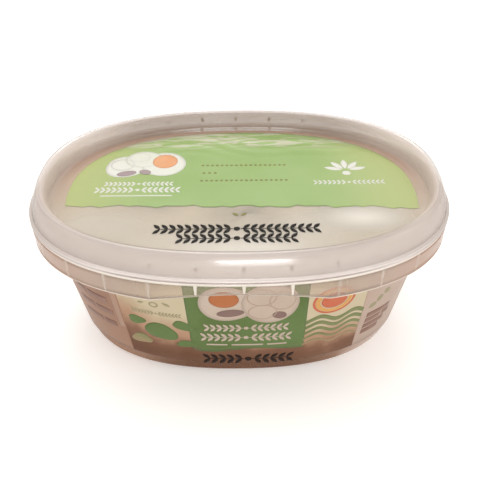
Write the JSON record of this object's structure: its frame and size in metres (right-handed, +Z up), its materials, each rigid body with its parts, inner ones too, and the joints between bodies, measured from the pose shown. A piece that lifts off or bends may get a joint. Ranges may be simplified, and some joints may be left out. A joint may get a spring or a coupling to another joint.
{
  "type": "lidded oval cheese tub",
  "caption": "Shut oval tub of knotted mozzarella in brine: tapered translucent tub with ribbed skirt, printed label, printed sealing film and a press-fit lid with a raised crest.",
  "frame": {"origin": "middle of the base, on the surface that the tub stands on", "axes": "+X along the long way of the oval, -Y towards the front of the label, +Z up"},
  "size_m": [0.16, 0.1128, 0.0705],
  "materials": {
    "tub": "thin milky translucent polypropylene, satin gloss, warm where the contents show through",
    "label": "printed film moulded on the wall: green, cream and clear fields",
    "cheese": "moist smooth white curd in cloudy brine",
    "seal_film": "thin glossy sealing film, light green print over a clear front, slightly creased at the back",
    "lid": "milky translucent polypropylene, satin gloss, brighter along its folds and edges"
  },
  "bodies": {
    "root": {"tub": "tub", "label": "label", "cheese_knots": "cheese", "seal_film": "seal_film", "lid": "lid"}
  },
  "joints": []
}
